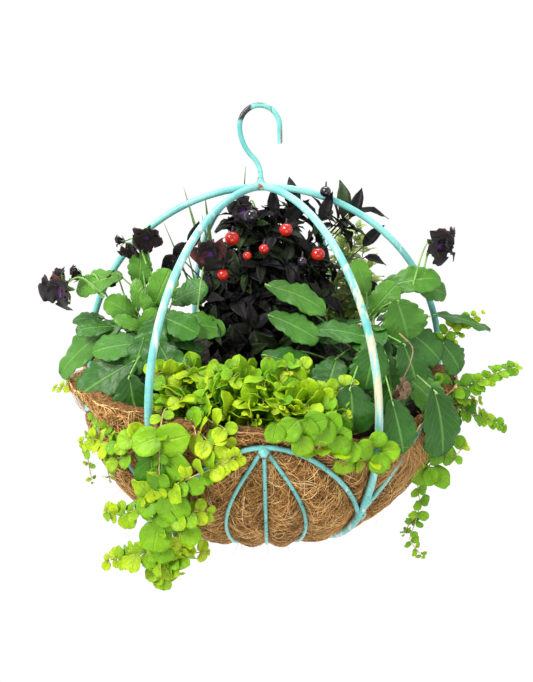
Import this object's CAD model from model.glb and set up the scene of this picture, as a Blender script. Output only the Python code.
import bpy
import math
import numpy as np
from mathutils import Matrix, Vector


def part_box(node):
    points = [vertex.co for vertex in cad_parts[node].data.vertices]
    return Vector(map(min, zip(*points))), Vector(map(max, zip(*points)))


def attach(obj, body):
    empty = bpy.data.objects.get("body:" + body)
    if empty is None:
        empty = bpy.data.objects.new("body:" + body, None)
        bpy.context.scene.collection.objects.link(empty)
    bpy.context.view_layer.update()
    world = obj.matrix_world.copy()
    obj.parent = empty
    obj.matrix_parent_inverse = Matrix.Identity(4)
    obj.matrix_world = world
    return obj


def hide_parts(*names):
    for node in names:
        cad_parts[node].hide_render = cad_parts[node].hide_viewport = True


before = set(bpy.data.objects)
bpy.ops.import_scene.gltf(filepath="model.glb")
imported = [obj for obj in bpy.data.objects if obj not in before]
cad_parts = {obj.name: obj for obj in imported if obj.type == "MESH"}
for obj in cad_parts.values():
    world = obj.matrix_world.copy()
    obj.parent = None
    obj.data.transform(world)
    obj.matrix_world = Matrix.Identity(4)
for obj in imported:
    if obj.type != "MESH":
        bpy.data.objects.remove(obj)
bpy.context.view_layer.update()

# The rim is the globe's widest level. Heights below are measured up from it, in millimetres.
mm = 0.001
linerLip = 6 * mm
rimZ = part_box("coir_liner")[1][2] - linerLip


def at(x, y, height):
    return np.array([x * mm, y * mm, rimZ + height * mm])


# building meshes


def newSheaf():
    return {"verts": [], "faces": [], "tone": [], "count": 0}


def addPart(sheaf, verts, faces, tone):
    # tone is one number for each vertex, which the materials turn into colour
    sheaf["verts"].append(verts)
    sheaf["faces"].append(faces + sheaf["count"])
    sheaf["tone"].append(np.broadcast_to(tone, (len(verts),)).astype(float))
    sheaf["count"] += len(verts)


def gridFaces(rows, cols, closed=False, copies=1):
    # faces over a grid of vertices, row by row; closed joins the end of each row to its start
    row = np.arange(rows - 1)[:, None] * cols
    col = np.arange(cols if closed else cols - 1)[None, :]
    right = (col + 1) % cols
    faces = np.stack([row + col, row + right, row + cols + right, row + cols + col], -1)
    return (np.arange(copies)[:, None, None, None] * rows * cols + faces).reshape(-1, 4)


# the order of a face's corners that turns it over
turnedOver = [0, 3, 2, 1]


def finishMesh(name, sheaf, material, thickness=0.0, nodes=()):
    mesh = bpy.data.meshes.new(name)
    verts = np.concatenate(sheaf["verts"])
    faces = [row for block in sheaf["faces"] for row in block.tolist()]
    mesh.from_pydata(verts.tolist(), [], faces)
    tone = mesh.attributes.new("tone", "FLOAT", "POINT")
    tone.data.foreach_set("value", np.concatenate(sheaf["tone"]))
    for key in ("across", "reach"):
        if key in sheaf:
            values = [sheaf[key].get(i, np.zeros(len(block))) for i, block in enumerate(sheaf["verts"])]
            mesh.attributes.new(key, "FLOAT", "POINT").data.foreach_set("value", np.concatenate(values))
    mesh.polygons.foreach_set("use_smooth", [True] * len(mesh.polygons))
    mesh.materials.append(material)
    obj = bpy.data.objects.new(name, mesh)
    bpy.context.collection.objects.link(obj)
    if thickness:
        thick = obj.modifiers.new("thickness", "SOLIDIFY")
        thick.thickness = thickness * mm
        thick.offset = 0
    # every piece rides on the one rigid body, and some take the place of a plain solid
    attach(obj, "root")
    if nodes:
        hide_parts(*nodes)


def unit(v):
    return v / np.maximum(np.linalg.norm(v, axis=-1, keepdims=True), 1e-12)


def addTubes(sheaf, paths, radii, sides, tone):
    # paths is strands x points x 3, radii is strands x points, all in metres
    strands, points, _ = paths.shape
    tangent = unit(np.gradient(paths, axis=1))
    guide = np.where(np.abs(tangent[:, :1, 2:3]) > 0.8, [[[1.0, 0.2, 0.1]]], [[[0.1, 0.2, 1.0]]])
    side = unit(np.cross(tangent, guide))
    up = np.cross(side, tangent)
    angle = np.arange(sides) / sides * 2 * math.pi
    ring = (side[:, :, None] * np.cos(angle)[None, None, :, None]
            + up[:, :, None] * np.sin(angle)[None, None, :, None])
    verts = (paths[:, :, None] + ring * radii[:, :, None, None]).reshape(-1, 3)
    toneRow = np.repeat(np.broadcast_to(tone, (strands,)), points * sides)
    addPart(sheaf, verts, gridFaces(points, sides, True, strands), toneRow)


def bezier(points, count):
    # a smooth path through a few control points
    points = np.array(points, float)
    if len(points) == 2:
        share = np.linspace(0, 1, count)[:, None]
        return points[0] + (points[1] - points[0]) * share
    padded = np.vstack([2 * points[0] - points[1], points, 2 * points[-1] - points[-2]])
    out = []
    for t in np.linspace(0, len(points) - 1 - 1e-9, count):
        i = int(t)
        f = t - i
        p0, p1, p2, p3 = padded[i], padded[i + 1], padded[i + 2], padded[i + 3]
        out.append(0.5 * (2 * p1 + (p2 - p0) * f + (2 * p0 - 5 * p1 + 4 * p2 - p3) * f * f
                          + (3 * p1 - p0 - 3 * p2 + p3) * f ** 3))
    return np.array(out)


# materials


def newMaterial(name):
    material = bpy.data.materials.new(name)
    material.use_nodes = True
    tree = material.node_tree
    return material, tree, tree.nodes["Principled BSDF"]


def noise(tree, scale, detail=4.0, rough=0.55, stretch=None):
    place = tree.nodes.new("ShaderNodeTexCoord").outputs["Object"]
    if stretch:
        mapping = tree.nodes.new("ShaderNodeMapping")
        mapping.inputs["Scale"].default_value = stretch
        tree.links.new(place, mapping.inputs["Vector"])
        place = mapping.outputs["Vector"]
    made = tree.nodes.new("ShaderNodeTexNoise")
    for key, value in (("Scale", scale), ("Detail", detail), ("Roughness", rough)):
        made.inputs[key].default_value = value
    tree.links.new(place, made.inputs["Vector"])
    return made.outputs["Fac"]


def ramp(tree, value, *stops):
    made = tree.nodes.new("ShaderNodeValToRGB")
    marks = made.color_ramp.elements
    while len(marks) < len(stops):
        marks.new(0.5)
    for mark, (position, colour) in zip(marks, stops):
        mark.position = position
        mark.color = (*colour, 1.0)
    tree.links.new(value, made.inputs["Fac"])
    return made.outputs["Color"]


def mix(tree, share, first, second, mode="MIX"):
    made = tree.nodes.new("ShaderNodeMix")
    made.data_type = "RGBA"
    made.blend_type = mode
    for value, socket in ((share, made.inputs["Factor"]), (first, made.inputs["A"]),
                          (second, made.inputs["B"])):
        if hasattr(value, "is_linked"):
            tree.links.new(value, socket)
        elif isinstance(value, tuple):
            socket.default_value = (*value, 1.0)
        else:
            socket.default_value = value
    return made.outputs["Result"]


def readAttribute(tree, name):
    made = tree.nodes.new("ShaderNodeAttribute")
    made.attribute_name = name
    return made.outputs["Fac"]


def toneOf(tree):
    return readAttribute(tree, "tone")


def window(tree, value, low, high):
    # 0 below low, 1 above high, or the other way round if low is above high
    made = tree.nodes.new("ShaderNodeMapRange")
    made.interpolation_type = "SMOOTHSTEP"
    made.inputs["From Min"].default_value = low
    made.inputs["From Max"].default_value = high
    tree.links.new(value, made.inputs["Value"])
    return made.outputs["Result"]


def times(tree, first, second, operation="MULTIPLY"):
    made = tree.nodes.new("ShaderNodeMath")
    made.operation = operation
    for value, socket in ((first, made.inputs[0]), (second, made.inputs[1])):
        if hasattr(value, "is_linked"):
            tree.links.new(value, socket)
        else:
            socket.default_value = value
    return made.outputs[0]


def axes(tree):
    place = tree.nodes.new("ShaderNodeTexCoord")
    split = tree.nodes.new("ShaderNodeSeparateXYZ")
    tree.links.new(place.outputs["Object"], split.inputs[0])
    return split.outputs[0], split.outputs[1], split.outputs[2]


def bump(tree, shader, height, strength, distance):
    made = tree.nodes.new("ShaderNodeBump")
    made.inputs["Strength"].default_value = strength
    made.inputs["Distance"].default_value = distance
    tree.links.new(height, made.inputs["Height"])
    tree.links.new(made.outputs["Normal"], shader.inputs["Normal"])


def finishShader(tree, shader, colour, values):
    # the colour comes from nodes, and plain values go on the shader's own sockets
    tree.links.new(colour, shader.inputs["Base Color"])
    for key, value in values.items():
        shader.inputs[key].default_value = value


paint = {
    "mint": (0.26, 0.66, 0.62), "deepMint": (0.13, 0.47, 0.46), "bleached": (0.68, 0.88, 0.86),
    "cream": (0.66, 0.62, 0.42), "rust": (0.22, 0.08, 0.03), "grime": (0.05, 0.06, 0.05),
    "bareSteel": (0.03, 0.03, 0.035),
}


def paintedRod(name, wear=1.0, rustShare=0.0, fade=0.0):
    material, tree, shader = newMaterial(name)
    x, y, z = axes(tree)
    colour = mix(tree, window(tree, noise(tree, 22), 0.40, 0.66), paint["mint"], paint["deepMint"])
    streak = noise(tree, 130, stretch=(1, 1, 0.10))
    # the sun bleaches the middle of the arms more than the crown and hook
    height = times(tree, times(tree, window(tree, z, -0.075, -0.125), 0.85), 0.15, "ADD")
    bleached = times(tree, window(tree, streak, 0.60 - fade * 0.25, 0.74 - fade * 0.2), height)
    colour = mix(tree, bleached, colour, paint["bleached"])
    # sun-bleached cream stripe on the shoulder of the right front arm
    stripe = times(tree, window(tree, z, -0.26, -0.23), window(tree, z, -0.12, -0.15))
    stripe = times(tree, stripe, times(tree, window(tree, x, 0.055, 0.075), window(tree, y, -0.10, -0.12)))
    stripe = times(tree, stripe, window(tree, noise(tree, 210, stretch=(1, 1, 0.07)), 0.42, 0.58))
    colour = mix(tree, stripe, colour, paint["cream"])
    # grime and scratches gather on the lower rods
    low = window(tree, z, rimZ + 0.02, rimZ - 0.08)
    specks = window(tree, noise(tree, 420, detail=6), 0.60, 0.68)
    grime = times(tree, specks, times(tree, times(tree, low, 0.75), 0.18, "ADD"))
    colour = mix(tree, times(tree, grime, wear), colour, paint["grime"])
    scratch = window(tree, noise(tree, 130, detail=5, stretch=(1, 1, 0.12)), 0.675, 0.70)
    colour = mix(tree, times(tree, scratch, 0.75 * wear), colour, paint["grime"])
    rust = window(tree, noise(tree, 150, detail=5), 0.66 - rustShare * 0.12, 0.70 - rustShare * 0.1)
    colour = mix(tree, times(tree, rust, 0.35 + 0.6 * rustShare), colour, paint["rust"])
    tree.links.new(colour, shader.inputs["Base Color"])
    tree.links.new(window(tree, noise(tree, 300), 0.9, -0.3), shader.inputs["Roughness"])
    bump(tree, shader, noise(tree, 500, detail=5), 0.35, 0.0006)
    return material, tree, shader


def setSlots(nodeName, material):
    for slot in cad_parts[nodeName].material_slots:
        slot.material = material


frontPaint = paintedRod("sunFadedMint", wear=0.7, fade=0.30)[0]
armPaint = paintedRod("mintPaint", wear=0.8, fade=0.1)[0]
ribPaint = paintedRod("weatheredMint", wear=1.6, fade=0.1)[0]
weldPaint = paintedRod("rustyWeld", wear=1.2, rustShare=1.5)[0]

hookPaint, tree, shader = paintedRod("hookPaint", wear=0.8, fade=0.15)
x, y, z = axes(tree)
base = shader.inputs["Base Color"].links[0].from_socket
bare = times(tree, times(tree, window(tree, x, -0.0060, -0.0085), window(tree, z, -0.0115, -0.0085)),
             window(tree, noise(tree, 260), 0.25, 0.36))
topLine = times(tree, window(tree, z, 0.0026, 0.0038), window(tree, noise(tree, 200), 0.30, 0.42))
wornTip = times(tree, times(tree, window(tree, x, 0.0185, 0.0200), window(tree, z, -0.017, -0.021)),
                window(tree, noise(tree, 350), 0.38, 0.50))
base = mix(tree, bare, base, paint["bareSteel"])
base = mix(tree, times(tree, topLine, 0.8), base, paint["bareSteel"])
base = mix(tree, wornTip, base, (0.30, 0.11, 0.04))
tree.links.new(base, shader.inputs["Base Color"])

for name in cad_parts:
    if name in ("arm_front_left", "arm_front_right"):
        setSlots(name, frontPaint)
    elif name.startswith("arm_"):
        setSlots(name, armPaint)
    elif name.endswith("_arch") or "_rib_" in name or name == "bottom_ring":
        setSlots(name, ribPaint)
    elif name in ("crown_weld", "apex_welds", "arch_foot_welds"):
        setSlots(name, weldPaint)
setSlots("hook", hookPaint)

tiePlastic, tree, shader = newMaterial("tiePlastic")
tieColour = ramp(tree, noise(tree, 300), (0.3, (0.008, 0.008, 0.01)), (0.7, (0.03, 0.03, 0.035)))
finishShader(tree, shader, tieColour, {"Roughness": 0.5})
bump(tree, shader, noise(tree, 900), 0.4, 0.0003)
setSlots("twist_tie", tiePlastic)
print("rods and paint done")

# coir liner

liner = {
    "outer": 173.0, "baseRadius": 100.0, "baseIn": 63.2, "baseDown": 36.5, "thickness": 9.0,
    "knee": math.radians(30), "bulge": 8.5, "around": 480, "down": 120,
    # height of the torn top edge round the basket: azimuth, height
    "edge": [(-180, 10), (-150, 6), (-120, 12), (-90, 2), (-72, 10), (-55, 17), (-30, 18), (-10, 15),
             (8, 11), (20, 1), (33, -12), (44, -15), (54, -4), (66, 2), (90, 3), (120, 12),
             (150, 7), (180, 10)],
    # how far the edge flops outward: azimuth, distance
    "flare": [(-180, 0), (-120, 3), (-92, 13), (-70, 8), (-45, 2), (0, 0), (34, 2), (46, 11), (56, 15),
              (68, 9), (90, 6), (120, 2), (180, 0)],
    "fibres": 23000, "fibreDepth": 205, "looseHairs": 620, "tufts": 2600,
}
wallLength = liner["outer"] * liner["knee"]
curlLength = liner["baseRadius"] * math.radians(60)


def keyed(table, azimuth):
    keys = np.array(table, float)
    return np.interp((azimuth + 180) % 360 - 180, keys[:, 0], keys[:, 1])


def wave(azimuth, height, seed, scale=1.0):
    # smooth repeatable unevenness between -1 and 1
    a = np.radians(azimuth)
    total = 0
    for k, (f, g, p) in enumerate(((7, 0.05, 0.3), (13, 0.09, 1.7), (23, 0.13, 4.1), (41, 0.21, 2.2))):
        total = total + np.sin(f * scale * a + g * height + p + seed * (k + 1)) / (1 + k * 0.5)
    return total / 2.6


def wall(travel):
    # radius, height and outward direction of the smooth bowl, by distance down from the rim
    turn = np.where(travel < wallLength, np.clip(travel, 0, None) / liner["outer"],
                    liner["knee"] + (travel - wallLength) / liner["baseRadius"])
    turn = np.clip(turn, 0, math.pi / 2)
    upper = travel < wallLength
    radius = np.where(upper, liner["outer"] * np.cos(turn),
                      liner["baseIn"] + liner["baseRadius"] * np.cos(turn))
    height = np.where(upper, -liner["outer"] * np.sin(turn) - np.minimum(travel, 0),
                      -liner["baseDown"] - liner["baseRadius"] * np.sin(turn))
    flat = np.clip(travel - wallLength - curlLength, 0, None)
    return radius - flat, height, np.cos(turn), -np.sin(turn)


# the rods that press into the liner: their radii, how far an arch drops, how the side ribs turn away
wires = {
    "arm": 3.2, "arch": 2.0, "rib": 1.6,
    "archTop": 1, "archDrop": 85.4, "ribTurn": 12.6, "ribDepth": 97.9,
}
# half of one of the six panels, in degrees
halfPanel = 30


def wireGap(azimuth, radius, height):
    # roomy distance along the wall from the rods round about, rounded off halfway between two of them
    local = np.abs((azimuth + halfPanel) % (2 * halfPanel) - halfPanel)
    perDegree = np.maximum(radius, 20) * math.pi / 180
    arm = (halfPanel - local) * perDegree - wires["arm"]
    archHeight = wires["archTop"] - wires["archDrop"] * (local / halfPanel) ** 2
    slope = 2 * wires["archDrop"] * local / halfPanel ** 2 / perDegree
    arch = np.abs(height - archHeight) / np.sqrt(1 + slope ** 2) - wires["arch"]
    ribTurn = wires["ribTurn"] * np.sin(np.clip(-height / wires["ribDepth"], 0, 1) * math.pi / 2)
    middle = local * perDegree - wires["rib"]
    sideRib = np.abs(local - ribTurn) * perDegree - wires["rib"]
    below = height < archHeight
    crowd = 0
    for gap in (arm, arch, np.where(below, middle, 1e3), np.where(below, sideRib, 1e3)):
        crowd = crowd + 1 / np.maximum(gap, 0.05) ** 1.5
    return 1.35 * crowd ** (-1 / 1.5)


def coirPoint(azimuth, travel, lift):
    radius, height, outX, outZ = wall(travel)
    gap = wireGap(azimuth, radius, height)
    pillow = liner["bulge"] * (1 - np.exp(-(gap / 7.0) ** 1.6))
    pillow = pillow * np.clip((radius - 30) / 30, 0, 1) * (1 - 0.40 * np.clip((-height - 62) / 28, 0, 1))
    rough = 1.3 * wave(azimuth, height, 0.4, 2.0) * np.clip(gap / 5, 0, 1)
    flare = keyed(liner["flare"], azimuth) * np.clip((height + 16) / 24, 0, 1)
    out = pillow + rough + lift
    r = radius + out * outX + flare
    a = np.radians(azimuth)
    return np.stack([r * np.sin(a) * mm, -r * np.cos(a) * mm, rimZ + (height + out * outZ) * mm], -1)


def edgeHeight(azimuth):
    return keyed(liner["edge"], azimuth) + 2.5 * wave(azimuth, 0, 2.0, 3.0)


coirSheaf = newSheaf()
count, rows = liner["around"], liner["down"]
azimuths = np.arange(count) / count * 360 - 180
fullTravel = wallLength + curlLength + liner["baseIn"]
share = np.linspace(0, 1, rows)[:, None]
topTravel = -edgeHeight(azimuths)[None, :]
outerTravel = topTravel + (fullTravel - 2 - topTravel) * share
outerGrid = coirPoint(azimuths[None, :], outerTravel, 0.0)
innerRows = 40
innerShare = np.linspace(0, 1, innerRows)[:, None]
innerTravel = topTravel + 1.5 + (fullTravel - 8 - topTravel) * innerShare
radius, height, outX, outZ = wall(innerTravel)
flare = keyed(liner["flare"], azimuths)[None, :] * np.clip((height + 16) / 24, 0, 1)
inner = radius + (-liner["thickness"] + wave(azimuths[None, :], height, 5.0, 2.0)) * outX + flare
turn = np.radians(azimuths)[None, :]
innerGrid = np.stack([inner * np.sin(turn) * mm, -inner * np.cos(turn) * mm,
                      rimZ + (height - liner["thickness"] * outZ) * mm], -1)
lip = (outerGrid[0] + innerGrid[0]) / 2 + np.array([0, 0, 2.2 * mm])
rings = np.concatenate([outerGrid[::-1], lip[None], innerGrid])
addPart(coirSheaf, rings.reshape(-1, 3), gridFaces(len(rings), count, True)[:, turnedOver], 0.35)

coirMaterial, tree, shader = newMaterial("coirMat")
fine = noise(tree, 520, detail=8, rough=0.7, stretch=(1, 1, 0.5))
coirColour = ramp(tree, fine, (0.30, (0.030, 0.013, 0.004)), (0.46, (0.14, 0.066, 0.022)),
                  (0.60, (0.38, 0.20, 0.065)), (0.75, (0.62, 0.37, 0.14)))
patches = window(tree, noise(tree, 16), 0.35, 0.65)
coirColour = mix(tree, times(tree, patches, 0.35), coirColour, (0.10, 0.05, 0.02), "MULTIPLY")
finishShader(tree, shader, coirColour, {"Roughness": 0.95, "Specular IOR Level": 0.2})
bump(tree, shader, fine, 0.9, 0.0022)

fibreMaterial, tree, shader = newMaterial("coirFibre")
fibreColour = ramp(tree, toneOf(tree), (0.0, (0.13, 0.050, 0.012)), (0.35, (0.42, 0.205, 0.058)),
                   (0.7, (0.80, 0.48, 0.170)), (1.0, (1.0, 0.78, 0.44)))
fibreColour = mix(tree, 0.5, fibreColour,
                  ramp(tree, noise(tree, 70), (0.35, (0.68, 0.62, 0.55)), (0.65, (1.35, 1.28, 1.15))),
                  "MULTIPLY")
finishShader(tree, shader, fibreColour, {"Roughness": 0.6, "Specular IOR Level": 0.25})
bump(tree, shader, noise(tree, 1500), 0.3, 0.0002)

finishMesh("coirBowl", coirSheaf, coirMaterial, nodes=("coir_liner",))


def strands(number, reach, points, seed):
    # curly fibres that lie in the bowl's surface
    draw = np.random.default_rng(seed)
    azimuth = draw.uniform(-180, 180, number)
    top = -edgeHeight(azimuth)
    travel = top + (liner["fibreDepth"] - top) * draw.uniform(0, 1, number) ** 0.92
    heading = draw.uniform(0, 2 * math.pi, number)
    curl = draw.normal(0, 0.18, number)
    step = draw.uniform(*reach, number) / (points - 1)
    lift = draw.uniform(0.2, 1.9, number)
    azimuths, travels, lifts = [], [], []
    for index in range(points):
        azimuths.append(azimuth.copy())
        travels.append(travel.copy())
        lifts.append(lift * math.sin(math.pi * (index + 0.35) / (points - 0.3)) - 0.3)
        radius = np.maximum(wall(travel)[0], 25)
        azimuth = azimuth + np.degrees(step * np.cos(heading) / radius)
        travel = np.maximum(travel + step * np.sin(heading), -edgeHeight(azimuth) - 1.5)
        heading = heading + curl + draw.normal(0, 0.10, number)
    a, t, l = (np.stack(rows, 1) for rows in (azimuths, travels, lifts))
    return coirPoint(a, t, l), draw


def addHairs(sheaf, paths, thick, thin, tone, draw):
    # fine hairs that taper from thick to thin; tone is the mean and spread of their shade
    number = len(paths[0])
    addTubes(sheaf, np.stack(paths, 1), np.tile(np.linspace(thick, thin, len(paths)), (number, 1)) * mm, 3,
             np.clip(draw.normal(*tone, number), 0, 1))


fibreBatches = 5
for batch in range(fibreBatches):
    number = liner["fibres"] // fibreBatches
    paths, draw = strands(number, (12, 42), 8, 100 + batch)
    tone = np.clip(draw.normal(0.54, 0.26, number), 0, 1)
    girth = draw.uniform(0.12, 0.32, number)[:, None] * mm
    taper = np.array([0.5, 0.9, 1, 1, 1, 1, 0.9, 0.4])[None, :]
    sheaf = newSheaf()
    addTubes(sheaf, paths, girth * taper, 3, tone)
    finishMesh("coirFibres_%d" % batch, sheaf, fibreMaterial)

# loose hairs that stand out of the mat, most of them along the torn edge and the underside
looseSheaf = newSheaf()
number = liner["looseHairs"]
draw = np.random.default_rng(55)
azimuth = draw.uniform(-180, 180, number)
nearEdge = draw.uniform(0, 1, number) < 0.6
travel = np.where(nearEdge, -edgeHeight(azimuth) + draw.uniform(0, 5, number), draw.uniform(10, 190, number))
start = coirPoint(azimuth, travel, 0.5)
_, _, outX, outZ = wall(travel)
a = np.radians(azimuth)
outward = np.stack([outX * np.sin(a), -outX * np.cos(a), outZ + nearEdge * 0.8], -1)
heading = unit(outward * 0.7 + draw.normal(0, 0.75, (number, 3)))
bend = draw.normal(0, 0.16, (number, 3))
length = draw.uniform(5, 17, number)[:, None] * mm
paths = [start]
for index in range(8):
    heading = unit(heading + bend + np.array([0, 0, -0.06]))
    paths.append(paths[-1] + heading * length / 8)
addHairs(looseSheaf, paths, 0.13, 0.06, (0.62, 0.2), draw)
finishMesh("coirLooseHairs", looseSheaf, fibreMaterial)

# torn tufts folded over the edge
tuftSheaf = newSheaf()
draw = np.random.default_rng(77)
number = liner["tufts"]
azimuth = draw.uniform(-180, 180, number)
depth = draw.uniform(-10, 9, number)
paths = []
heading = draw.normal(0, 0.9, number)
for index in range(8):
    f = index / 7
    across = azimuth + np.degrees(heading * (f - 0.5) * draw.uniform(8, 14, 1)[0] / 172)
    over = f * math.pi
    outside = coirPoint(across, -edgeHeight(across) + 1.5 + (1 - f) * 4, 1.5 - 9 * f - depth * 0.1)
    outside[:, 2] += (2.6 * math.sin(over) + draw.normal(0, 0.25, number)) * mm
    paths.append(outside)
addHairs(tuftSheaf, paths, 0.17, 0.17, (0.45, 0.22), draw)
finishMesh("coirTornEdge", tuftSheaf, fibreMaterial)

# long hairs that hang over the outside where the edge is torn low, and along the left lip
fringe = {"number": 900, "spans": [(40, 64, 0.62), (-100, -82, 0.38)], "length": (22, 62)}
draw = np.random.default_rng(88)
sheaf = newSheaf()
for firstAz, lastAz, share in fringe["spans"]:
    number = int(fringe["number"] * share)
    azimuth = draw.uniform(firstAz, lastAz, number)
    length = draw.uniform(*fringe["length"], number)
    heading = draw.normal(0, 0.35, number)
    bulge = draw.uniform(1.5, 9.0, number)
    curl = draw.normal(0, 1.2, number)
    paths = []
    for index in range(9):
        f = index / 8
        travel = -edgeHeight(azimuth) + 2 + f * length
        drift = azimuth + np.degrees((heading * f + 0.10 * np.sin(3 * f + curl)) * length / 175)
        paths.append(coirPoint(drift, travel, 0.5 + bulge * math.sin(math.pi * min(f * 1.15 + 0.05, 1))))
    addHairs(sheaf, paths, 0.20, 0.09, (0.66, 0.2), draw)
finishMesh("coirFringe", sheaf, fibreMaterial)
print("coir done")

# soil

soil = {"radius": 161.0, "edge": 1.0, "crown": 9.0, "rings": 90, "around": 260, "crumbs": 1400}


def soilHeight(x, y):
    r = np.hypot(x, y)
    base = soil["edge"] + (soil["crown"] - soil["edge"]) * (1 - (r / soil["radius"]) ** 2)
    lumps = (1.6 * np.sin(x * 0.11 + 1.3 * np.sin(y * 0.07)) * np.cos(y * 0.13 + 0.6)
             + 0.9 * np.sin(x * 0.31 + y * 0.22) + 0.6 * np.cos(x * 0.53 - y * 0.47))
    return base + lumps


draw = np.random.default_rng(7)
soilSheaf = newSheaf()
r = np.linspace(0.5, soil["radius"], soil["rings"])[:, None]
a = np.arange(soil["around"])[None, :] / soil["around"] * 2 * math.pi
x, y = r * np.cos(a), r * np.sin(a)
z = soilHeight(x, y) + draw.normal(0, 0.45, x.shape)
top = np.stack([x * mm, y * mm, rimZ + z * mm], -1)
skirt = np.stack([x[-1] * 0.97 * mm, y[-1] * 0.97 * mm, np.full(x.shape[1], rimZ - 30 * mm)], -1)[None]
grid = np.concatenate([top, skirt])
addPart(soilSheaf, grid.reshape(-1, 3), gridFaces(len(grid), soil["around"], True)[:, turnedOver], 0.3)

# crumbs and chips of bark on top
chip = np.array([[1, 0, 0], [-1, 0, 0], [0, 1, 0], [0, -1, 0], [0, 0, 1], [0, 0, -1]], float)
chipFaces = np.array([[0, 2, 4], [2, 1, 4], [1, 3, 4], [3, 0, 4], [2, 0, 5], [1, 2, 5], [3, 1, 5], [0, 3, 5]])
crumbSheaf = newSheaf()
for index in range(soil["crumbs"]):
    spin = draw.uniform(0, 2 * math.pi)
    reach = soil["radius"] * math.sqrt(draw.uniform(0, 0.98))
    cx, cy = reach * math.cos(spin), reach * math.sin(spin)
    size = draw.uniform(0.8, 2.6) * np.array([draw.uniform(0.7, 1.9), draw.uniform(0.6, 1.0),
                                              draw.uniform(0.5, 0.9)])
    turn = draw.uniform(0, math.pi)
    pts = chip * size * draw.uniform(0.75, 1.25, (6, 1))
    flat = np.stack([pts[:, 0] * math.cos(turn) - pts[:, 1] * math.sin(turn),
                     pts[:, 0] * math.sin(turn) + pts[:, 1] * math.cos(turn), pts[:, 2]], -1)
    ground = float(soilHeight(cx, cy)) + 0.4
    addPart(crumbSheaf, at(cx, cy, ground) + flat * mm, chipFaces, draw.uniform(0, 1))

soilMaterial, tree, shader = newMaterial("dampCompost")
grain = noise(tree, 260, detail=9, rough=0.72)
soilColour = ramp(tree, grain, (0.32, (0.006, 0.004, 0.003)), (0.52, (0.020, 0.013, 0.009)),
                  (0.72, (0.065, 0.040, 0.024)))
soilColour = mix(tree, times(tree, toneOf(tree), 0.4), soilColour, (0.06, 0.035, 0.02))
finishShader(tree, shader, soilColour, {"Roughness": 0.9})
bump(tree, shader, grain, 0.9, 0.003)
finishMesh("compost", soilSheaf, soilMaterial, nodes=("potting_soil",))
finishMesh("compostCrumbs", crumbSheaf, soilMaterial)
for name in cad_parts:
    if name.startswith("root_ball"):
        setSlots(name, soilMaterial)
print("soil done")

# leaves


def addLeaves(sheaf, base, along, facing, length, width, shape, tone):
    # many leaves at once: base and directions are n x 3, sizes are n long, in metres
    base, along, facing = (np.atleast_2d(np.asarray(v, float)) for v in (base, along, facing))
    n = len(base)
    length, width, tone = (np.broadcast_to(np.asarray(v, float), (n,)) for v in (length, width, tone))
    along = unit(along)
    facing = unit(facing - along * np.sum(facing * along, 1, keepdims=True) + 1e-9)
    side = np.cross(along, facing)
    rows, cols = shape["rows"], shape["cols"]
    u = np.linspace(0, 1, rows)[None, :, None]
    v = np.linspace(-1, 1, cols)[None, None, :]
    draw = shape["draw"]
    half = shape["outline"](u) * np.ones_like(v)
    teeth, toothDepth = shape.get("teeth", (0, 0))
    if teeth:
        # rounded scallops, deepest at the margin
        scallop = np.abs(np.sin(math.pi * teeth * u)) ** 0.7
        half = half * (1 - toothDepth * np.abs(v) ** 3 * (1 - scallop) * 2)
    wide = half * width[:, None, None] / 2
    across = v * wide
    droop = shape.get("droop", 0.3) * (1 + 0.5 * draw.normal(0, 0.6, (n, 1, 1)))
    droop = np.where(np.abs(droop) < 0.02, 0.02, droop)
    notch = shape.get("notch", 0.0) * np.abs(v) ** 1.5 * (1 - u) ** 3
    run = np.sin(droop * u) / droop * length[:, None, None] - notch * length[:, None, None]
    sink = (1 - np.cos(droop * u)) / droop * length[:, None, None]
    lift = (shape.get("fold", 0.1) * np.abs(v) + shape.get("cup", 0.0) * v ** 2) * wide
    phase = draw.uniform(0, 2 * math.pi, (n, 1, 1))
    waves, waveDepth = shape.get("ruffle", (2.0, 0.04))
    lift = lift + waveDepth * length[:, None, None] * v ** 2 * np.sin(
        2 * math.pi * waves * u + phase + np.sign(v) * 0.9)
    quilt = shape.get("quilt", 0.0)
    if quilt:
        lift = lift - quilt * length[:, None, None] * half * np.abs(
            np.sin(math.pi * (u * 6 - np.abs(v) * 1.6))) ** 0.5 * np.minimum(np.abs(v) * 4, 1)
    lean = draw.normal(0, shape.get("twist", 0.15), (n, 1, 1)) * u
    lift = lift + lean * across
    points = (base[:, None, None] + side[:, None, None] * across[..., None]
              + along[:, None, None] * run[..., None] + facing[:, None, None] * (lift - sink)[..., None])
    addPart(sheaf, points.reshape(-1, 3), gridFaces(rows, cols, copies=n), np.repeat(tone, rows * cols))
    for key, values in (("across", v), ("reach", u)):
        spread = np.broadcast_to(values, (n, rows, cols)).reshape(-1)
        sheaf.setdefault(key, {})[len(sheaf["verts"]) - 1] = spread


def addRows(sheaf, rows, shape):
    # each row: foot, way it grows, way it faces, length, width, tone
    base, along, facing, length, width, tone = (np.array(v) for v in zip(*rows))
    addLeaves(sheaf, base, along, facing, length, width, shape, tone)


def roundOutline(u):
    return np.sqrt(np.clip(1 - (2 * u ** 0.92 - 1) ** 2, 0.0004, 1))


def ovateOutline(u):
    # blunt tip, broadest past the middle, narrowing down to the stalk
    blunt = np.sqrt(np.clip(1 - np.abs(2 * u - 1) ** 2.6, 0.0009, 1))
    return blunt * (0.58 + 0.42 * np.clip(u / 0.55, 0, 1))


def lanceOutline(u):
    return np.clip(np.sin(math.pi * u ** 0.75), 0, 1) ** 1.05 * 0.98 + 0.02


def bladeOutline(u):
    return np.clip(1.05 - u ** 3, 0.04, 1)


def petalOutline(u):
    return np.clip(np.sin(math.pi * (0.12 + 0.80 * u ** 1.15)), 0, 1) ** 0.75


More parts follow.
